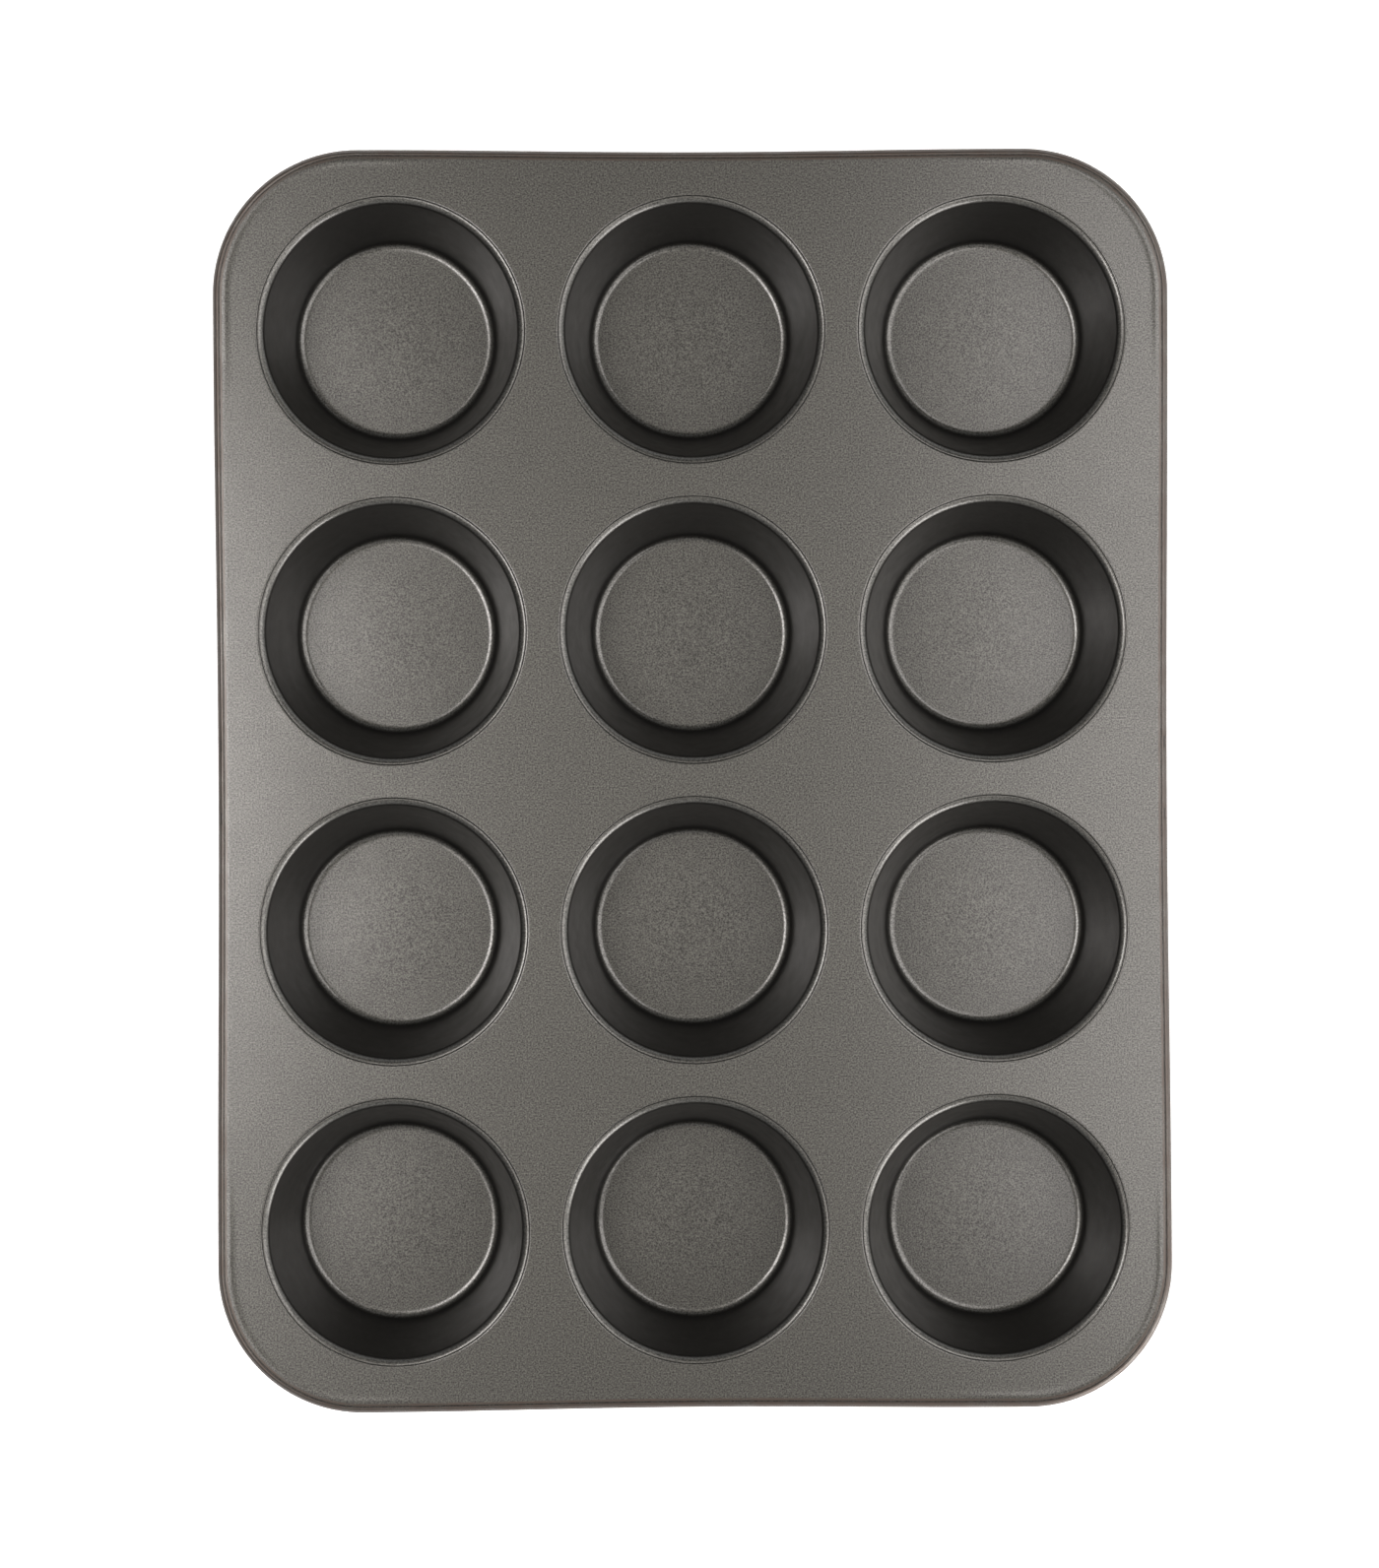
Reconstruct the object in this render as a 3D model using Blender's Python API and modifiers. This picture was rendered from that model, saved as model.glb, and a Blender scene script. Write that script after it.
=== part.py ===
"""Twelve-cup muffin tin: a sheet-steel top plate with a wired edge and twelve drawn cups seamed into it.

Metres, +Z up. The origin is under the plate's centre, on the plane that the cup floors stand on.
+Y runs along the four rows of cups and +X across the three columns.
"""

from math import asin, atan2, cos, hypot, pi, radians, sin, sqrt

import bmesh
import bpy
from mathutils import Vector

MM = 0.001

# Overall size
LENGTH = 350 * MM
WIDTH = 265 * MM
PLATE_TOP = 30 * MM
SHEET = 0.5 * MM
CORNER_RADIUS = 40 * MM
SIDE_BOW = 0.8 * MM  # how far each side is drawn in at its middle

# Cups
ROWS = 4
COLUMNS = 3
CUP_PITCH = 83.3 * MM
FLOOR_RADIUS = 25.8 * MM
FLOOR_FILLET = 2.45 * MM
LIP_RADIUS = 2.0 * MM  # on the cup's inner face
LIP_START_RADIUS = 36.75 * MM  # where the lip leaves the flat flange
FLANGE_TOP_RADIUS = 36.9 * MM
FLANGE_BOTTOM_RADIUS = 37.45 * MM

# Seat in the plate under each cup's flange: the hole's edge leans over the bevelled flange
GAP = 0.3 * MM
HOLE_RADIUS = 37.3 * MM
SEAT_SLOPE = (FLANGE_BOTTOM_RADIUS - FLANGE_TOP_RADIUS) / SHEET  # outward, for each unit down
SEAT_DEPTH = SHEET + GAP
LEDGE_INNER_RADIUS = 36.4 * MM
CUT_CLEARANCE = 1.0 * MM

# Wired edge
BEAD_RADIUS = 1.25 * MM
BEAD_RISE = 0.15 * MM  # crest above the plate
CURL_END = radians(-250)  # angle from the crest, inwards positive
WIRE_GAP = 0.2 * MM
WIRE_RADIUS = BEAD_RADIUS - SHEET - WIRE_GAP

# Facets
CUP_STEPS = 24
CORNER_STEPS = 10
LONG_SIDE_STEPS = 8
SHORT_SIDE_STEPS = 6
CURL_STEPS = 10
LIP_STEPS = 3
FILLET_STEPS = 2
MERGE = 0.01 * MM

COATING = {"colour": (0.105, 0.098, 0.091, 1), "roughness": 0.42, "metallic": 0.35}
STEEL = {"colour": (0.52, 0.51, 0.49, 1), "roughness": 0.38, "metallic": 1.0}


def clear_scene():
    for item in list(bpy.data.objects):
        bpy.data.objects.remove(item)


def new_collection(name):
    collection = bpy.data.collections.new(name)
    bpy.context.scene.collection.children.link(collection)
    return collection


def material(name, look):
    made = bpy.data.materials.new(name)
    made.use_nodes = True
    shader = made.node_tree.nodes["Principled BSDF"]
    shader.inputs["Base Color"].default_value = look["colour"]
    shader.inputs["Roughness"].default_value = look["roughness"]
    shader.inputs["Metallic"].default_value = look["metallic"]
    made.diffuse_color = look["colour"]
    return made


def add_object(name, data, collection):
    made = bpy.data.objects.new(name, data)
    collection.objects.link(made)
    return made


def as_guide(guide):
    guide.hide_render = True
    guide.display_type = "WIRE"


# Turned shapes


def arc(centre, radius, start, end, steps):
    """Points (r, z) round a centre; angles are measured from +r towards +z."""
    angles = [start + (end - start) * step / steps for step in range(steps + 1)]
    return [(centre[0] + radius * cos(a), centre[1] + radius * sin(a)) for a in angles]


def profile_mesh(name, profile, closed=False):
    """Edges that join (r, z) points; a profile's outer side runs from top to bottom."""
    mesh = bpy.data.meshes.new(name)
    links = [(i, i + 1) for i in range(len(profile) - 1)]
    if closed:
        links.append((len(profile) - 1, 0))
    mesh.from_pydata([(r, 0, z) for r, z in profile], links, [])
    return mesh


def turned(name, mesh, collection, place):
    """A profile screwed once round the vertical axis through its place."""
    made = add_object(name, mesh, collection)
    made.location = place
    screw = made.modifiers.new("turn", "SCREW")
    screw.axis = "Z"
    screw.angle = 2 * pi
    screw.steps = CUP_STEPS
    screw.render_steps = CUP_STEPS
    screw.use_merge_vertices = True
    screw.merge_threshold = MERGE
    screw.use_smooth_shade = True
    return made


# Cups


def wall_lean(lip_centre, fillet_centre):
    """Angle from the vertical of the straight wall that touches both the lip and the floor fillet."""
    run = lip_centre[0] - fillet_centre[0]
    rise = lip_centre[1] - fillet_centre[1]
    return atan2(run, rise) - asin((LIP_RADIUS + FLOOR_FILLET) / hypot(run, rise))


def cup_profile():
    """From the floor's centre, up the inner face, over the flange and down the outer face."""
    lip_centre = (LIP_START_RADIUS, PLATE_TOP - LIP_RADIUS)
    fillet_centre = (FLOOR_RADIUS, SHEET + FLOOR_FILLET)
    lean = wall_lean(lip_centre, fillet_centre)
    wall_normal = pi - lean
    inner_fillet = arc(fillet_centre, FLOOR_FILLET, -pi / 2, -lean, FILLET_STEPS)
    inner_lip = arc(lip_centre, LIP_RADIUS, wall_normal, pi / 2, LIP_STEPS)
    outer_lip = arc(lip_centre, LIP_RADIUS - SHEET, pi / 2, wall_normal, LIP_STEPS)
    outer_fillet = arc(fillet_centre, FLOOR_FILLET + SHEET, -lean, -pi / 2, FILLET_STEPS)
    flange = [(FLANGE_TOP_RADIUS, PLATE_TOP), (FLANGE_BOTTOM_RADIUS, PLATE_TOP - SHEET)]
    return [(0, SHEET)] + inner_fillet + inner_lip + flange + outer_lip + outer_fillet + [(0, 0)]


def cup_places():
    """Row, column and the cup's axis, from the +Y end and the -X side."""
    for row in range(ROWS):
        for column in range(COLUMNS):
            x = (column - (COLUMNS - 1) / 2) * CUP_PITCH
            y = ((ROWS - 1) / 2 - row) * CUP_PITCH
            yield row + 1, column + 1, (x, y, 0)


def make_cups(collection):
    mesh = profile_mesh("cup", cup_profile())
    mesh.materials.append(material("coated_cup", COATING))
    for row, column, place in cup_places():
        turned(f"cup_r{row}c{column}", mesh, collection, place)


# Plate outline


def drawn_in(along, half):
    """How far a side is pulled in at a distance from its middle."""
    return SIDE_BOW * (1 + cos(pi * along / half)) / 2


def side(half_across, half_straight, steps):
    """Points along the +X side, from its -Y end, without its last point."""
    points = []
    for step in range(steps):
        along = half_straight * (2 * step / steps - 1)
        points.append(Vector((half_across - drawn_in(along, half_straight), along)))
    return points


def quarter_turns(points, turns):
    turned_points = points
    for _ in range(turns):
        turned_points = [Vector((-p.y, p.x)) for p in turned_points]
    return turned_points


def outline(inset):
    """The plate's outline, anticlockwise, at a distance inside its outer edge."""
    half_width = WIDTH / 2
    half_length = LENGTH / 2
    radius = CORNER_RADIUS - inset
    points = []
    for turns in range(4):
        across, along = (half_width, half_length) if turns % 2 == 0 else (half_length, half_width)
        steps = LONG_SIDE_STEPS if turns % 2 == 0 else SHORT_SIDE_STEPS
        straight = along - CORNER_RADIUS
        run = side(across - inset, straight, steps)
        for step in range(CORNER_STEPS):
            angle = pi / 2 * step / CORNER_STEPS
            run.append(Vector((across - CORNER_RADIUS + radius * cos(angle), straight + radius * sin(angle))))
        points += quarter_turns(run, turns)
    return points


def filled_outline(inset, height):
    """A flat face inside the outline, made from a filled 2D curve."""
    curve = bpy.data.curves.new("outline", "CURVE")
    curve.dimensions = "2D"
    curve.fill_mode = "BOTH"
    points = outline(inset)
    spline = curve.splines.new("POLY")
    spline.points.add(len(points) - 1)
    for target, point in zip(spline.points, points):
        target.co = (point.x, point.y, 0, 1)
    spline.use_cyclic_u = True
    guide = add_object("outline", curve, bpy.context.scene.collection)
    mesh = bpy.data.meshes.new_from_object(guide.evaluated_get(bpy.context.evaluated_depsgraph_get()))
    bpy.data.objects.remove(guide)
    for vertex in mesh.vertices:
        vertex.co.z = height
    return mesh


# Plate


def curl_path():
    """(inset, height) round the bead's outer face, from the crease at the plate to the curl's end."""
    centre_height = PLATE_TOP + BEAD_RISE - BEAD_RADIUS
    below_crest = BEAD_RADIUS - BEAD_RISE
    crease = atan2(sqrt(BEAD_RADIUS**2 - below_crest**2), below_crest)
    path = []
    for step in range(CURL_STEPS + 1):
        angle = crease + (CURL_END - crease) * step / CURL_STEPS
        path.append((BEAD_RADIUS * (1 + sin(angle)), centre_height + BEAD_RADIUS * cos(angle)))
    return path


def curl_edge(mesh, path):
    """Extrudes the plate's boundary along the curl, one ring of edges at a time."""
    shape = bmesh.new()
    shape.from_mesh(mesh)
    bmesh.ops.remove_doubles(shape, verts=shape.verts, dist=MERGE)
    edges = [edge for edge in shape.edges if edge.is_boundary]
    ring = outline(path[0][0])
    for inset, height in path[1:]:
        next_ring = outline(inset)
        extruded = bmesh.ops.extrude_edge_only(shape, edges=edges)["geom"]
        edges = [item for item in extruded if isinstance(item, bmesh.types.BMEdge)]
        for vertex in (item for item in extruded if isinstance(item, bmesh.types.BMVert)):
            place = min(range(len(ring)), key=lambda i: (ring[i] - vertex.co.xy).length)
            vertex.co = (*next_ring[place], height)
        ring = next_ring
    face_up(shape)
    shape.to_mesh(mesh)
    shape.free()


def face_up(shape):
    """Turns all faces one way, with the flat of the plate facing up."""
    bmesh.ops.recalc_face_normals(shape, faces=shape.faces)
    if max(shape.faces, key=lambda face: face.calc_area()).normal.z < 0:
        bmesh.ops.reverse_faces(shape, faces=shape.faces)


def seat_boss_profile():
    """A washer under each hole, from inside the sheet down to the ledge's underside."""
    outer = HOLE_RADIUS + SEAT_SLOPE * SEAT_DEPTH + SHEET
    inner = LEDGE_INNER_RADIUS - CUT_CLEARANCE
    top = PLATE_TOP - SHEET / 2
    bottom = PLATE_TOP - SEAT_DEPTH - SHEET
    return [(inner, top), (outer, top), (outer, bottom), (inner, bottom)]


def pocket_profile():
    """What is cut from the plate: the undercut seat, and the hole through its ledge."""
    above = PLATE_TOP + CUT_CLEARANCE
    below = PLATE_TOP - SEAT_DEPTH - SHEET - CUT_CLEARANCE
    neck = HOLE_RADIUS - SEAT_SLOPE * GAP
    seat = HOLE_RADIUS + SEAT_SLOPE * SEAT_DEPTH
    return [
        (0, above),
        (neck, above),
        (neck, PLATE_TOP + GAP),
        (seat, PLATE_TOP - SEAT_DEPTH),
        (LEDGE_INNER_RADIUS, PLATE_TOP - SEAT_DEPTH),
        (LEDGE_INNER_RADIUS, below),
        (0, below),
    ]


def boolean(made, operation, collection):
    modifier = made.modifiers.new(operation.lower(), "BOOLEAN")
    modifier.operation = operation
    modifier.operand_type = "COLLECTION"
    modifier.collection = collection
    modifier.solver = "EXACT"


def make_plate(collection, bosses, pockets):
    boss = profile_mesh("boss", seat_boss_profile(), closed=True)
    pocket = profile_mesh("pocket", pocket_profile())
    for row, column, place in cup_places():
        as_guide(turned(f"boss_r{row}c{column}", boss, bosses, place))
        as_guide(turned(f"pocket_r{row}c{column}", pocket, pockets, place))
    path = curl_path()
    mesh = filled_outline(*path[0])
    curl_edge(mesh, path)
    plate = add_object("top_plate", mesh, collection)
    mesh.materials.clear()
    mesh.materials.append(material("coated_plate", COATING))
    gauge = plate.modifiers.new("gauge", "SOLIDIFY")
    gauge.thickness = SHEET
    gauge.offset = -1
    gauge.use_even_offset = True
    boolean(plate, "UNION", bosses)
    boolean(plate, "DIFFERENCE", pockets)
    mesh.shade_smooth()
    mesh.set_sharp_from_angle(angle=radians(35))


# Wire


def make_wire(collection):
    curve = bpy.data.curves.new("rim_wire", "CURVE")
    curve.dimensions = "3D"
    curve.bevel_depth = WIRE_RADIUS
    curve.bevel_resolution = 2
    points = outline(BEAD_RADIUS)
    height = PLATE_TOP + BEAD_RISE - BEAD_RADIUS
    spline = curve.splines.new("POLY")
    spline.points.add(len(points) - 1)
    for target, point in zip(spline.points, points):
        target.co = (point.x, point.y, height, 1)
    spline.use_cyclic_u = True
    spline.use_smooth = True
    add_object("rim_wire", curve, collection)
    curve.materials.append(material("steel_wire", STEEL))


def main():
    clear_scene()
    parts = new_collection("muffin_tin")
    bosses = new_collection("seat_bosses")
    pockets = new_collection("seat_pockets")
    make_plate(parts, bosses, pockets)
    make_wire(parts)
    make_cups(parts)


main()
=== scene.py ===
"""Looks for the twelve-cup muffin tin: pressed sheets with fine edges, a speckled coating, soft light.

Shapes are worked out in millimetres, in the frame's axes: +X across the columns, +Y along the rows, +Z up.
"""

from math import acos, asin, atan, atan2, cos, hypot, pi, radians, sin

import bmesh
import bpy
import numpy as np
from mathutils import Euler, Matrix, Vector
from mathutils.geometry import delaunay_2d_cdt


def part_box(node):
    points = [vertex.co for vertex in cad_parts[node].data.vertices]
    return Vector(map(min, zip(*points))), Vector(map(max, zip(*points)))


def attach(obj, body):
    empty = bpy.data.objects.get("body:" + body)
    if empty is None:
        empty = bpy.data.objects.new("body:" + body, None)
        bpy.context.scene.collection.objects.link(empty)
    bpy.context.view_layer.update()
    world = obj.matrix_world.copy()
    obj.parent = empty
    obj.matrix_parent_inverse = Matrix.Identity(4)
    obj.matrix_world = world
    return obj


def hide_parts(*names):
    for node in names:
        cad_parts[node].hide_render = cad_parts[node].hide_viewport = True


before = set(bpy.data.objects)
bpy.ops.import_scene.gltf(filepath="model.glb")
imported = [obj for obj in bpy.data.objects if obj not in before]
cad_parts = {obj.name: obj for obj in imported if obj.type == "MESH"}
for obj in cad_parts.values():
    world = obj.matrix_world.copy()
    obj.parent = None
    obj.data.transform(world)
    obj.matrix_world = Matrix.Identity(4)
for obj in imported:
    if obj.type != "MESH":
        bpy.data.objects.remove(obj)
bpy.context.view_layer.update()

MM = 0.001

# From the frame
ROWS = 4
COLUMNS = 3
CUPS = [f"cup_r{row + 1}c{column + 1}" for row in range(ROWS) for column in range(COLUMNS)]
plate_box = [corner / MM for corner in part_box("top_plate")]
cup_boxes = {name: [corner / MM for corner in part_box(name)] for name in CUPS}
HALF_WIDTH = (plate_box[1].x - plate_box[0].x) / 2
HALF_LENGTH = (plate_box[1].y - plate_box[0].y) / 2
PLATE_TOP = cup_boxes[CUPS[0]][1].z
BEAD_RISE = plate_box[1].z - PLATE_TOP

# Sheets
SHEET = 0.5
CORNER_RADIUS = 40
SIDE_BOW = 0.8

# Cups
FLOOR_RADIUS = 25.8
FLOOR_FILLET = 2.45
LIP_START_RADIUS = 36.88
LIP_TIGHT_RADIUS = 1.3  # the lip leaves the flange in a tight turn,
LIP_TIGHT_TURN = radians(22)
LIP_WIDE_RADIUS = 2.5  # then runs more gently into the wall
FLANGE_EDGE_START = 36.89  # the flange's edge rounds over from here
FLANGE_EDGE_ROUND = 0.07
FLANGE_BOTTOM_RADIUS = 37.2
FLANGE_NICK = (0.05, 0.04)  # the flange's lower edge is cut back by this much across and up
FLOOR_CROWN = 0.12
WALL_TILT = (radians(35), radians(65))  # the drawn wall's smoother finish and its darker colour, which is painted shade, fade in between these slopes

# The plate's hole round each flange
HOLE_EDGE_START = 37.42
HOLE_EDGE_WIDTH = 0.33
HOLE_EDGE_DEPTH = 0.2
SEAT_SLOPE = 2.0
SEAT_DEPTH = 0.8
LEDGE_INNER_RADIUS = 36.4
LEDGE_BEVEL = 0.1
BOSS_RADIUS = 38.6
BOSS_ROUND = 0.3
BOSS_LEAN = radians(25)

# Wired edge
BEAD_RADIUS = 1.3
BEAD_HEIGHT = PLATE_TOP + BEAD_RISE - BEAD_RADIUS
BEAD_FLANK = 0.12  # how far its upper outer side is flattened, as a share of the radius
BEAD_INNER_RADIUS = 0.4  # the bead turns down tightly on its inner side,
BEAD_INNER_TURN = radians(70)
GROOVE_RADIUS = 0.1  # into a narrow groove rolled beside it,
GROOVE_TURN = radians(60)
SHOULDER_RADIUS = 0.2  # then over a sharp shoulder
SHOULDER_TURN = radians(3)  # onto the flat, which dips slightly towards it
GROOVE_SHEET = 0.4
CURL_END = radians(250)
WIRE_RADIUS = 0.6
RUBBED = (radians(40), radians(190))  # the part of the bead that gets rubbed, round from its inner side
NICK_PLACE = 10  # two clamp marks on each long side, this far from its middle
NICK_LENGTH = 2.9
NICK_INSETS = (0.5, 1.15)
NICK_DEPTH = 0.11
NICK_END = 0.35  # its ends slope over this length
NICK_STEP = 0.7  # its inner points lie this far from its middle
NICK_FLOOR = 0.2  # it reaches down to this far above the bead's middle
NICK_CLEAN = 0.6  # the share of the rubbing that misses it

# Ridges left beside the groove by forming the corners
RIDGE_INSET = 3.4
RIDGE_WIDTH = 0.55
RIDGE_HEIGHT = 0.09
RIDGE_FADE = 28

# Steps
CUP_STEPS = 128
CORNER_STEPS = 32
LONG_SIDE_STEPS = 40
SHORT_SIDE_STEPS = 28
WIRE_STEPS = 16
GRID = 4.0
MARK_SPACE = 1.5  # other points keep this far from a clamp mark's
CLOSE = 0.02  # lengths that differ by less than this are taken as equal
SHARP_ANGLE = radians(40)
TOP_MARGINS = [3.4, 3.7, 4.0, 4.3, 4.7, 5.3, 6.4, 7.8, 9.4]  # rings of points inside the rim,
UNDER_MARGINS = [3.2, 4.6, 5.8, 7.0, 8.0]  # above and below the sheet
HOLE_MARGIN = 0.3


# Shells: rings of points joined into closed surfaces


class Shell:
    def __init__(self):
        self.points = []
        self.wall_finish_and_shade_shares = []
        self.wear = []
        self.faces = []

    def ring(self, points, wall_finish_and_shade_share=0.0, wear=0.0):
        start = len(self.points)
        self.points.extend(points)
        self.wall_finish_and_shade_shares.extend([wall_finish_and_shade_share] * len(points))
        self.wear.extend([wear] * len(points))
        return list(range(start, len(self.points)))

    def bridge(self, one, other):
        for i in range(len(one)):
            j = (i + 1) % len(one)
            self.faces.append((one[i], one[j], other[j], other[i]))

    def rings(self, loops, wall_finish_and_shade_share=None, wear=None):
        """Adds loops of points, each bridged to the one before it; returns the first and last ring."""
        nothing = [0.0] * len(loops)
        made = [self.ring(*loop) for loop in zip(loops, wall_finish_and_shade_share or nothing, wear or nothing)]
        for one, other in zip(made, made[1:]):
            self.bridge(one, other)
        return made[0], made[-1]

    def cap(self, ring, point):
        centre = self.ring([point])[0]
        self.faces += [(a, b, centre) for a, b in zip(ring, ring[1:] + ring[:1])]

    def mesh(self, name):
        mesh = bpy.data.meshes.new(name)
        points = np.array(self.points, float)
        points[:, 2] += sheet_lift(points)
        nicked = press_nicks(points)
        mesh.from_pydata((points * MM).tolist(), [], self.faces)
        shape = bmesh.new()
        shape.from_mesh(mesh)
        bmesh.ops.recalc_face_normals(shape, faces=shape.faces)
        shape.to_mesh(mesh)
        shape.free()
        # The steep cup walls and the clamp marks get the darker, grainless wall colour; on the walls that
        # darker colour is painted shade.
        wall_finish_and_shade_share = np.maximum(self.wall_finish_and_shade_shares, nicked)
        mesh.attributes.new("wall_finish_and_shade", "FLOAT", "POINT").data.foreach_set("value", wall_finish_and_shade_share)
        wear = np.array(self.wear) * (1 - NICK_CLEAN * nicked)
        mesh.attributes.new("edge_wear", "FLOAT", "POINT").data.foreach_set("value", wear)
        mesh.shade_smooth()
        mesh.set_sharp_from_angle(angle=SHARP_ANGLE)
        return mesh


def arc(centre, radius, start, end, steps):
    """Points round a centre; angles are measured from the first axis towards the second."""
    angles = [start + (end - start) * step / steps for step in range(steps + 1)]
    return [(centre[0] + radius * cos(a), centre[1] + radius * sin(a)) for a in angles]


def along(start, end, steps):
    """Points on a straight run, without its ends."""
    return [tuple(a + (b - a) * step / steps for a, b in zip(start, end)) for step in range(1, steps)]


def circle(centre, radius, height, steps=CUP_STEPS):
    turns = [2 * pi * step / steps for step in range(steps)]
    return [(centre[0] + radius * cos(a), centre[1] + radius * sin(a), height) for a in turns]


def add_piece(name, mesh, node, material):
    piece = bpy.data.objects.new(name, mesh)
    bpy.context.scene.collection.objects.link(piece)
    mesh.materials.append(material)
    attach(piece, "root")
    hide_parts(node)
    return piece


# Plate outline


def drawn_in(distance, half):
    return SIDE_BOW * (1 + np.cos(pi * np.clip(distance / half, -1, 1))) / 2


def side_places(half, steps):
    return [half * (2 * step / steps - 1) for step in range(steps)]


def long_side_places(half):
    """Places along a long side, closer together at the clamp marks."""
    ends = [NICK_PLACE + side * (NICK_LENGTH / 2 + gap) for side in (-1, 1) for gap in (0, NICK_END)]
    within = [NICK_PLACE - NICK_STEP, NICK_PLACE + NICK_STEP]
    marks = [side * place for side in (-1, 1) for place in ends + within]
    far = [y for y in side_places(half, LONG_SIDE_STEPS) if min(abs(y - mark) for mark in marks) > MARK_SPACE]
    return sorted(far + marks)


def outline(inset, height):
    """A loop round the plate at a distance inside its outer edge, anticlockwise from the +X side."""
    radius = CORNER_RADIUS - inset
    points = []
    for turns in range(4):
        across, reach = (HALF_WIDTH, HALF_LENGTH) if turns % 2 == 0 else (HALF_LENGTH, HALF_WIDTH)
        straight = reach - CORNER_RADIUS
        places = long_side_places(straight) if turns % 2 == 0 else side_places(straight, SHORT_SIDE_STEPS)
        run = [(across - inset - drawn_in(y, straight), y) for y in places]
        run += arc((across - CORNER_RADIUS, straight), radius, 0, pi / 2, CORNER_STEPS)[:-1]
        for _ in range(turns):
            run = [(-y, x) for x, y in run]
        points += [(x, y, height) for x, y in run]
    return points


def inset_of(points):
    """How far points lie inside the plate's outer edge, and inside the square ends of its corners."""
    x, y = np.abs(points[:, 0]), np.abs(points[:, 1])
    long_half, short_half = HALF_LENGTH - CORNER_RADIUS, HALF_WIDTH - CORNER_RADIUS
    past_x, past_y = x - short_half, y - long_half
    round_corner = CORNER_RADIUS - np.hypot(past_x, past_y)
    from_long_side = HALF_WIDTH - drawn_in(y, long_half) - x
    from_short_side = HALF_LENGTH - drawn_in(x, short_half) - y
    inset = np.where((past_x > 0) & (past_y > 0), round_corner, np.minimum(from_long_side, from_short_side))
    return inset, np.minimum(past_x, past_y)


def sheet_lift(points):
    """The plate's slight unevenness: a low ridge left inside the rim where the corners were formed."""
    inset, past = inset_of(points)
    near = np.clip(1 + past / RIDGE_FADE, 0, 1)
    across = np.exp(-(((inset - RIDGE_INSET) / RIDGE_WIDTH) ** 2) / 2)
    return RIDGE_HEIGHT * near * near * (3 - 2 * near) * across


def press_nicks(points):
    """Presses the clamp marks into the bead's flank; returns how far each point lies in one, 0 to 1."""
    inset, _ = inset_of(points)
    along_mark = np.abs(np.abs(points[:, 1]) - NICK_PLACE) < NICK_LENGTH / 2 + CLOSE
    across_mark = (inset > NICK_INSETS[0]) & (inset < NICK_INSETS[1])
    in_mark = along_mark & across_mark & (points[:, 2] > BEAD_HEIGHT + NICK_FLOOR)
    points[in_mark, 2] -= NICK_DEPTH
    return in_mark.astype(float)


# Plate


def beyond(centre, distance, direction):
    return centre[0] + distance * cos(direction), centre[1] + distance * sin(direction)


def flanked(centre, point):
    """A point of the bead, drawn in where its upper outer side is flattened."""
    across, up = point[0] - centre[0], point[1] - centre[1]
    turn = atan2(up, across) - pi / 2
    share = 1 - BEAD_FLANK * sin(2 * turn) ** 2 if 0 < turn < pi / 2 else 1
    return centre[0] + across * share, centre[1] + up * share


def rim_profile():
    """(inset, height) from the flat's top round the bead, back through its inside, to the underside."""
    top = PLATE_TOP + BEAD_RISE
    bead = (BEAD_RADIUS, BEAD_HEIGHT)
    inner = (BEAD_RADIUS, top - BEAD_INNER_RADIUS)
    down = pi / 2 - BEAD_INNER_TURN
    groove = beyond(inner, BEAD_INNER_RADIUS + GROOVE_RADIUS, down)
    steep, gentle = GROOVE_TURN - pi / 2, pi / 2 + SHOULDER_TURN
    shoulder = beyond(groove, GROOVE_RADIUS + SHOULDER_RADIUS, steep)
    dip_radius = (PLATE_TOP - shoulder[1] - SHOULDER_RADIUS * sin(gentle)) / (1 - sin(gentle))
    dip = beyond(shoulder, dip_radius - SHOULDER_RADIUS, gentle - pi)
    end = pi / 2 + CURL_END
    end_centre = beyond(bead, BEAD_RADIUS - SHEET / 2, end)

    bore, under = BEAD_RADIUS - SHEET, GROOVE_RADIUS + GROOVE_SHEET
    run, rise = groove[0] - bead[0], groove[1] - bead[1]
    apart = hypot(run, rise)
    meet = atan2(rise, run) + acos((bore**2 + apart**2 - under**2) / (2 * bore * apart))
    touch = beyond(bead, bore, meet)
    under_start = atan2(touch[1] - groove[1], touch[0] - groove[0])
    under_end = asin((PLATE_TOP - SHEET - groove[1]) / under)

    profile = arc(dip, dip_radius, pi / 2, gentle, 5)
    profile += arc(shoulder, SHOULDER_RADIUS, gentle, steep + pi, 5)[1:]
    profile += arc(groove, GROOVE_RADIUS, steep, down - pi, 5)[1:]
    profile += arc(inner, BEAD_INNER_RADIUS, down, pi / 2, 6)[1:]
    profile += [flanked(bead, point) for point in arc(bead, BEAD_RADIUS, pi / 2, end, 44)[1:]]
    profile += arc(end_centre, SHEET / 2, end, end + pi, 6)[1:]
    profile += arc(bead, bore, end, meet, 32)[1:]
    return profile + arc(groove, under, under_start, under_end, 8)[1:]


def rubbing(rim):
    """1 where the rim's profile runs over the rubbed top and outside of the bead, 0 elsewhere."""
    levels = []
    for inset, height in rim:
        across, up = BEAD_RADIUS - inset, height - BEAD_HEIGHT
        turn = atan2(up, -across) % (2 * pi)
        on_outside = hypot(across, up) > BEAD_RADIUS * (1 - BEAD_FLANK) - CLOSE
        levels.append(float(on_outside and RUBBED[0] < turn < RUBBED[1]))
    return levels


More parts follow.
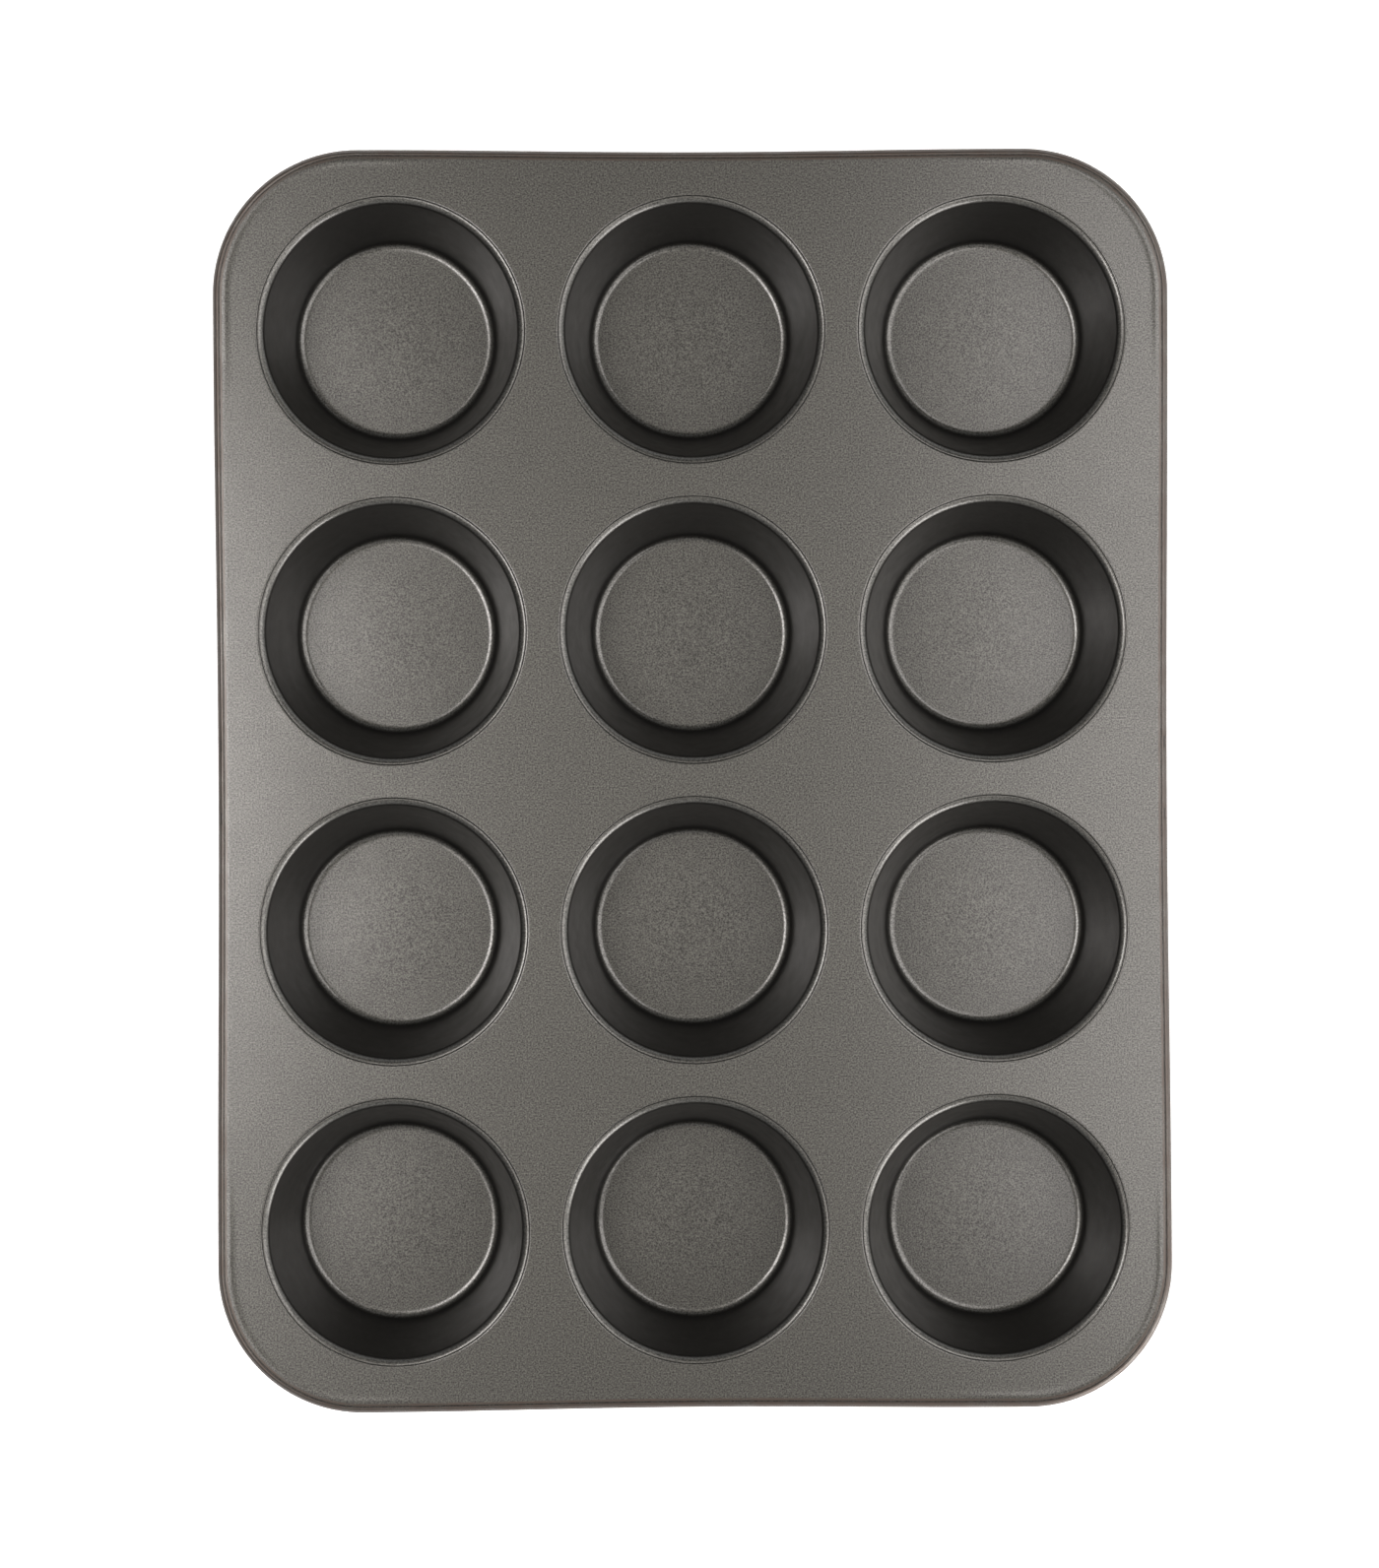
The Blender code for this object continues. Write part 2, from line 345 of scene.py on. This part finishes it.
def hole_profile():
    """(radius, height) from the plate's top over the hole's rounded edge, down the seat, round its ledge."""
    edge_end = pi + atan(SEAT_SLOPE)
    edge = [
        (HOLE_EDGE_START + HOLE_EDGE_WIDTH * x, PLATE_TOP + HOLE_EDGE_DEPTH * (z - 1))
        for x, z in arc((0, 0), 1, pi / 2, edge_end, 9)
    ]
    seat_height = PLATE_TOP - SEAT_DEPTH
    seat_radius = edge[-1][0] + SEAT_SLOPE * (edge[-1][1] - seat_height)
    ledge_bottom = seat_height - SHEET
    boss_centre = (BOSS_RADIUS - BOSS_ROUND, ledge_bottom + BOSS_ROUND)
    boss = arc(boss_centre, BOSS_ROUND, -pi / 2, -BOSS_LEAN, 4)
    root_height = PLATE_TOP - SHEET - BOSS_ROUND
    wall_run = (root_height + BOSS_ROUND * sin(BOSS_LEAN) - boss[-1][1]) * sin(BOSS_LEAN) / cos(BOSS_LEAN)
    root_centre = (boss[-1][0] + wall_run + BOSS_ROUND * cos(BOSS_LEAN), root_height)
    root = arc(root_centre, BOSS_ROUND, pi - BOSS_LEAN, pi / 2, 4)
    ledge = [
        (LEDGE_INNER_RADIUS + LEDGE_BEVEL, seat_height),
        (LEDGE_INNER_RADIUS, seat_height - LEDGE_BEVEL),
        (LEDGE_INNER_RADIUS, ledge_bottom + LEDGE_BEVEL),
        (LEDGE_INNER_RADIUS + LEDGE_BEVEL, ledge_bottom),
    ]
    return edge + [(seat_radius, seat_height)] + ledge + boss + root


def inside(points, loop):
    """Which points lie inside a closed loop."""
    x, y = points[:, :1], points[:, 1:2]
    ax, ay = loop[:, 0], loop[:, 1]
    bx, by = np.roll(ax, -1), np.roll(ay, -1)
    crosses = (ay > y) != (by > y)
    at = ax + (y - ay) * (bx - ax) / np.where(by == ay, 1, by - ay)
    return (np.sum(crosses & (x < at), axis=1) % 2).astype(bool)


def fill_flat(shell, outer, holes, height):
    """Triangles, near a square grid's size, between an outer ring and the rings of the holes in it."""
    rings = [outer] + holes
    loops = [np.array([shell.points[i][:2] for i in ring]) for ring in rings]
    across = np.arange(-HALF_WIDTH, HALF_WIDTH, GRID)
    down = np.arange(-HALF_LENGTH, HALF_LENGTH, GRID)
    grid = np.array([(x, y) for x in across for y in down])
    edge_points = np.concatenate(loops)
    apart = np.array([np.hypot(*(edge_points - point).T).min() for point in grid])
    free = (apart > GRID / 2) & inside(grid, loops[0])
    for loop in loops[1:]:
        free &= ~inside(grid, loop)
    grid = grid[free]
    places = [i for ring in rings for i in ring]
    places += shell.ring([(x, y, height) for x, y in grid])
    edges, start = [], 0
    for ring in rings:
        edges += [(start + i, start + (i + 1) % len(ring)) for i in range(len(ring))]
        start += len(ring)
    flat = [Vector(point) for point in np.concatenate([edge_points, grid])]
    made, _, triangles, source, _, _ = delaunay_2d_cdt(flat, edges, [], 0, 1e-5)
    made = np.array(made)
    middles = np.array([made[list(triangle)].mean(axis=0) for triangle in triangles])
    kept = inside(middles, loops[0])
    for loop in loops[1:]:
        kept &= ~inside(middles, loop)
    for triangle, keep in zip(triangles, kept):
        if keep:
            shell.faces.append([places[source[i][0]] for i in triangle])


def make_plate(material):
    shell = Shell()
    under = PLATE_TOP - SHEET
    rim = rim_profile()
    first, last = shell.rings([outline(inset, height) for inset, height in rim], wear=rubbing(rim))
    top_start, top_outer = shell.rings([outline(inset, PLATE_TOP) for inset in TOP_MARGINS])
    low_start, low_outer = shell.rings([outline(inset, under) for inset in UNDER_MARGINS])
    shell.bridge(first, top_start)
    shell.bridge(last, low_start)
    top_holes, low_holes = [], []
    hole = hole_profile()
    hole = [(hole[0][0] + HOLE_MARGIN, PLATE_TOP)] + hole + [(hole[-1][0] + HOLE_MARGIN, under)]
    for lo, hi in cup_boxes.values():
        loops = [circle((lo + hi) / 2, radius, height) for radius, height in hole]
        top, low = shell.rings(loops)
        top_holes.append(top)
        low_holes.append(low)
    fill_flat(shell, top_outer, top_holes, PLATE_TOP)
    fill_flat(shell, low_outer, low_holes, under)
    add_piece("pressed_plate", shell.mesh("pressed_plate"), "top_plate", material)


# Cups


def wall_lean(lip_centre, fillet_centre):
    """Angle from the vertical of the straight wall that touches both the lip and the floor fillet."""
    run = lip_centre[0] - fillet_centre[0]
    rise = lip_centre[1] - fillet_centre[1]
    return atan2(run, rise) - asin((LIP_WIDE_RADIUS + FLOOR_FILLET) / hypot(run, rise))


def floor_rings(height):
    """(radius, height) over the slightly crowned floor, from near its centre out to the fillet."""
    radii = [4, 8, 12, 16, 20, 23, FLOOR_RADIUS - 0.4]
    return [(r, height + FLOOR_CROWN * (1 - (r / FLOOR_RADIUS) ** 2) ** 2) for r in radii]


def cup_profile():
    """(radius, height) from the floor's top, up the inside, over the flange and down the outside."""
    tight_centre = (LIP_START_RADIUS, PLATE_TOP - LIP_TIGHT_RADIUS)
    turn = pi / 2 + LIP_TIGHT_TURN
    step = LIP_TIGHT_RADIUS - LIP_WIDE_RADIUS
    wide_centre = (tight_centre[0] + step * cos(turn), tight_centre[1] + step * sin(turn))
    fillet_centre = (FLOOR_RADIUS, SHEET + FLOOR_FILLET)
    lean = wall_lean(wide_centre, fillet_centre)
    fillet = arc(fillet_centre, FLOOR_FILLET, -pi / 2, -lean, 10)
    lip = arc(wide_centre, LIP_WIDE_RADIUS, pi - lean, turn, 12)
    lip += arc(tight_centre, LIP_TIGHT_RADIUS, turn, pi / 2, 6)[1:]
    edge_centre = (FLANGE_EDGE_START, PLATE_TOP - FLANGE_EDGE_ROUND)
    flange = arc(edge_centre, FLANGE_EDGE_ROUND, pi / 2, radians(25), 4)
    under = PLATE_TOP - SHEET
    flange += [(FLANGE_BOTTOM_RADIUS, under + FLANGE_NICK[1]), (FLANGE_BOTTOM_RADIUS - FLANGE_NICK[0], under)]
    outer_lip = arc(tight_centre, LIP_TIGHT_RADIUS - SHEET, pi / 2, turn, 4)
    outer_lip += arc(wide_centre, LIP_WIDE_RADIUS - SHEET, turn, pi - lean, 10)[1:]
    outer_fillet = arc(fillet_centre, FLOOR_FILLET + SHEET, -lean, -pi / 2, 10)
    inner_wall = along(fillet[-1], lip[0], 6)
    outer_wall = along(outer_lip[-1], outer_fillet[0], 6)
    inner = floor_rings(SHEET) + fillet + inner_wall + lip + flange
    return inner + outer_lip + outer_wall + outer_fillet + floor_rings(0)[::-1]


def steepness(profile):
    """0 where a profile is level, 1 where it is a wall, at each of its points."""
    levels = []
    for before, after in zip([profile[0]] + profile[:-1], profile[1:] + [profile[-1]]):
        tilt = atan2(abs(after[1] - before[1]), abs(after[0] - before[0]))
        share = min(max((tilt - WALL_TILT[0]) / (WALL_TILT[1] - WALL_TILT[0]), 0), 1)
        levels.append(share * share * (3 - 2 * share))
    return levels


def make_cup(name, material):
    lo, hi = cup_boxes[name]
    centre = (lo + hi) / 2
    shell = Shell()
    profile = cup_profile()
    loops = [circle(centre, radius, height) for radius, height in profile]
    # The steeper the profile, the more it takes the darker wall colour, which is painted shade on a smoother
    # finish.
    top, bottom = shell.rings(loops, steepness(profile))
    shell.cap(top, (centre.x, centre.y, SHEET + FLOOR_CROWN))
    shell.cap(bottom, (centre.x, centre.y, FLOOR_CROWN))
    add_piece(f"drawn_{name}", shell.mesh(f"drawn_{name}"), name, material)


# Wire


def make_wire(material):
    shell = Shell()
    section = arc((BEAD_RADIUS, BEAD_HEIGHT), WIRE_RADIUS, 0, 2 * pi, WIRE_STEPS)[:-1]
    loops = [outline(inset, height) for inset, height in section]
    first, last = shell.rings(loops)
    shell.bridge(last, first)
    add_piece("steel_wire", shell.mesh("steel_wire"), "rim_wire", material)


# Materials


def new_material(name):
    made = bpy.data.materials.new(name)
    made.use_nodes = True
    nodes = made.node_tree.nodes
    return made, nodes, made.node_tree.links, nodes["Principled BSDF"]


def speckle(nodes, links, place, scale, dark, light):
    """Fine noise and the colour that it gives."""
    grain = nodes.new("ShaderNodeTexNoise")
    grain.inputs["Scale"].default_value = scale
    grain.inputs["Detail"].default_value = 2.0
    links.new(place.outputs["Object"], grain.inputs["Vector"])
    ramp = nodes.new("ShaderNodeValToRGB")
    ramp.color_ramp.elements[0].position = 0.3
    ramp.color_ramp.elements[0].color = (*dark, 1)
    ramp.color_ramp.elements[1].position = 0.7
    ramp.color_ramp.elements[1].color = (*light, 1)
    links.new(grain.outputs["Fac"], ramp.inputs["Fac"])
    return grain, ramp


def rescaled(nodes, links, source, start, end):
    """A value that goes from start[1] to end[1] as the source goes from start[0] to end[0]."""
    change = nodes.new("ShaderNodeMapRange")
    for name, (source_value, result) in (("Min", start), ("Max", end)):
        change.inputs[f"From {name}"].default_value = source_value
        change.inputs[f"To {name}"].default_value = result
    links.new(source, change.inputs["Value"])
    return change


def sum_of_product(nodes, links, one, other, added):
    """one * other + added, where other and added are numbers or sockets."""
    result = nodes.new("ShaderNodeMath")
    result.operation = "MULTIPLY_ADD"
    for slot, value in enumerate((one, other, added)):
        if isinstance(value, (int, float)):
            result.inputs[slot].default_value = value
        else:
            links.new(value, result.inputs[slot])
    return result.outputs["Value"]


def roughen(nodes, links, grain, strength, distance):
    """Bumps made by the grain, in metres."""
    bump = nodes.new("ShaderNodeBump")
    bump.inputs["Strength"].default_value = strength
    bump.inputs["Distance"].default_value = distance
    links.new(grain.outputs["Fac"], bump.inputs["Height"])
    return bump.outputs["Normal"]


def mixed(nodes, links, share, one, other):
    """A colour that goes from one to the other as the share goes from 0 to 1."""
    mix = nodes.new("ShaderNodeMix")
    mix.data_type = "RGBA"
    links.new(share, mix.inputs["Factor"])
    links.new(one, mix.inputs["A"])
    mix.inputs["B"].default_value = (*other, 1)
    return mix.outputs["Result"]


def coating():
    """Non-stick coating: speckled dark flakes under a satin clear layer; grainless on the drawn walls, where
    a plain darker colour is painted shade.
    """
    made, nodes, links, shader = new_material("non_stick_coating")
    shader.inputs["Metallic"].default_value = 1.0
    shader.inputs["Coat Roughness"].default_value = 0.21
    shader.inputs["Coat IOR"].default_value = 1.58
    place = nodes.new("ShaderNodeTexCoord")
    wall = nodes.new("ShaderNodeAttribute")
    wall.attribute_name = "wall_finish_and_shade"
    edge = nodes.new("ShaderNodeAttribute")
    edge.attribute_name = "edge_wear"
    grain, ramp = speckle(nodes, links, place, 2200, (0.027, 0.0265, 0.0239), (0.106, 0.104, 0.093))

    patches = nodes.new("ShaderNodeTexNoise")
    patches.inputs["Scale"].default_value = 180
    patches.inputs["Detail"].default_value = 3.0
    links.new(place.outputs["Object"], patches.inputs["Vector"])
    matt = rescaled(nodes, links, patches.outputs["Fac"], (0.3, 0.46), (0.7, 0.54))
    links.new(matt.outputs["Result"], shader.inputs["Roughness"])
    rubbed = rescaled(nodes, links, patches.outputs["Fac"], (0.3, 0.55), (0.6, 1.0))
    worn = sum_of_product(nodes, links, edge.outputs["Fac"], rubbed.outputs["Result"], 0.0)

    # Painted shade: the walls get a plain darker colour in place of the grain.
    colour = mixed(nodes, links, wall.outputs["Fac"], ramp.outputs["Color"], (0.03, 0.0285, 0.027))
    colour = mixed(nodes, links, worn, colour, (0.07, 0.056, 0.047))
    links.new(colour, shader.inputs["Base Color"])
    gloss = rescaled(nodes, links, grain.outputs["Fac"], (0.3, 0.66), (0.7, 1.0))
    coat = rescaled(nodes, links, wall.outputs["Fac"], (0.0, 1.0), (1.0, 0.5))
    links.new(gloss.outputs["Result"], coat.inputs["To Min"])
    thinned = sum_of_product(nodes, links, worn, -0.4, coat.outputs["Result"])
    links.new(thinned, shader.inputs["Coat Weight"])
    normal = roughen(nodes, links, grain, 0.7, 0.00003)
    links.new(normal, shader.inputs["Normal"])
    links.new(normal, shader.inputs["Coat Normal"])
    return made


def bare_steel():
    made, nodes, links, shader = new_material("bare_steel")
    shader.inputs["Metallic"].default_value = 1.0
    place = nodes.new("ShaderNodeTexCoord")
    grain = nodes.new("ShaderNodeTexNoise")
    grain.inputs["Scale"].default_value = 900
    links.new(place.outputs["Object"], grain.inputs["Vector"])
    ramp = nodes.new("ShaderNodeValToRGB")
    ramp.color_ramp.elements[0].color = (0.40, 0.39, 0.37, 1)
    ramp.color_ramp.elements[1].color = (0.62, 0.61, 0.59, 1)
    links.new(grain.outputs["Fac"], ramp.inputs["Fac"])
    links.new(ramp.outputs["Color"], shader.inputs["Base Color"])
    drawn = rescaled(nodes, links, grain.outputs["Fac"], (0.0, 0.28), (1.0, 0.46))
    links.new(drawn.outputs["Result"], shader.inputs["Roughness"])
    links.new(roughen(nodes, links, grain, 0.4, 0.00002), shader.inputs["Normal"])
    return made


def white_floor():
    """White from above; clear from below, so that the tin's underside can be looked at."""
    made, nodes, links, shader = new_material("white_floor")
    side = nodes.new("ShaderNodeNewGeometry")
    clear = nodes.new("ShaderNodeBsdfTransparent")
    either = nodes.new("ShaderNodeMixShader")
    links.new(side.outputs["Backfacing"], either.inputs["Fac"])
    links.new(shader.outputs["BSDF"], either.inputs[1])
    links.new(clear.outputs["BSDF"], either.inputs[2])
    links.new(either.outputs["Shader"], nodes["Material Output"].inputs["Surface"])
    shader.inputs["Base Color"].default_value = (0.9, 0.9, 0.9, 1)
    shader.inputs["Roughness"].default_value = 0.9
    shader.inputs["Emission Color"].default_value = (1, 1, 1, 1)
    shader.inputs["Emission Strength"].default_value = 0.5
    return made


# Stage

FLOOR_SIZE = 16000
LAMP_COLOUR = (1.0, 0.958, 0.942)


def make_floor():
    half = FLOOR_SIZE / 2
    mesh = bpy.data.meshes.new("floor")
    corners = [(-half, -half), (half, -half), (half, half), (-half, half)]
    mesh.from_pydata([(x * MM, y * MM, -0.2 * MM) for x, y in corners], [], [(0, 1, 2, 3)])
    floor = bpy.data.objects.new("floor", mesh)
    bpy.context.scene.collection.objects.link(floor)
    mesh.materials.append(white_floor())


def make_light(name, size, place, radiance):
    """A rectangular light, sizes and place in millimetres, that faces straight down."""
    light = bpy.data.lights.new(name, "AREA")
    light.shape = "RECTANGLE"
    light.size, light.size_y = size[0] * MM, size[1] * MM
    light.energy = radiance * light.size * light.size_y * 4
    light.color = LAMP_COLOUR
    made = bpy.data.objects.new(name, light)
    made.location = Vector(place) * MM
    made.visible_camera = False
    bpy.context.scene.collection.objects.link(made)
    return made


def make_softbox(name, x_range, y_range, radiance, height=1130):
    """A light over the tin, to one side of the camera, between two places each way."""
    size = (x_range[1] - x_range[0], y_range[1] - y_range[0])
    make_light(name, size, (sum(x_range) / 2, sum(y_range) / 2, height), radiance)


def make_card(name, size, place, radiance):
    """A light that stands to one side and faces the tin."""
    card = make_light(name, size, place, radiance)
    card.rotation_euler = Vector(place).to_track_quat("Z", "Y").to_euler()


def make_room():
    """A room that is dark overhead and grey towards the horizon, more so on the right."""
    world = bpy.data.worlds.new("dim_room")
    world.use_nodes = True
    nodes, links = world.node_tree.nodes, world.node_tree.links
    place = nodes.new("ShaderNodeTexCoord")
    parts = nodes.new("ShaderNodeSeparateXYZ")
    links.new(place.outputs["Generated"], parts.inputs["Vector"])
    fade = rescaled(nodes, links, parts.outputs["Z"], (0.3, 0.85), (0.75, 0.0))
    fade.interpolation_type = "SMOOTHSTEP"
    side = sum_of_product(nodes, links, parts.outputs["X"], 0.7, 1.0)
    grey = sum_of_product(nodes, links, fade.outputs["Result"], side, 0.0)
    links.new(grey, nodes["Background"].inputs["Color"])
    bpy.context.scene.world = world


def make_lights():
    make_softbox("left_softbox", (-820, -260), (-180, 190), 8.5)
    make_softbox("left_fill", (-1000, -260), (-550, 550), 2.1, 1150)
    make_softbox("right_softbox", (200, 1700), (-330, 450), 3.5)
    make_softbox("front_right_softbox", (700, 1600), (-1500, -450), 1.8, 1170)
    make_softbox("front_fill", (-1000, 1000), (-1500, -600), 0.5)
    make_card("front_right_card", (600, 400), (560, -600, 200), 6.0)
    make_room()


def make_camera():
    data = bpy.data.cameras.new("camera")
    data.lens = 88.4
    camera = bpy.data.objects.new("camera", data)
    camera.location = (-0.0227, 0.0026, 1.0976)
    camera.rotation_euler = Euler([radians(a) for a in (-0.1937, -1.1527, -0.303)])
    bpy.context.scene.collection.objects.link(camera)
    bpy.context.scene.camera = camera


coated = coating()
make_plate(coated)
make_wire(bare_steel())
for cup in CUPS:
    make_cup(cup, coated)
make_floor()
make_lights()
make_camera()
bpy.context.scene.view_settings.view_transform = "Standard"
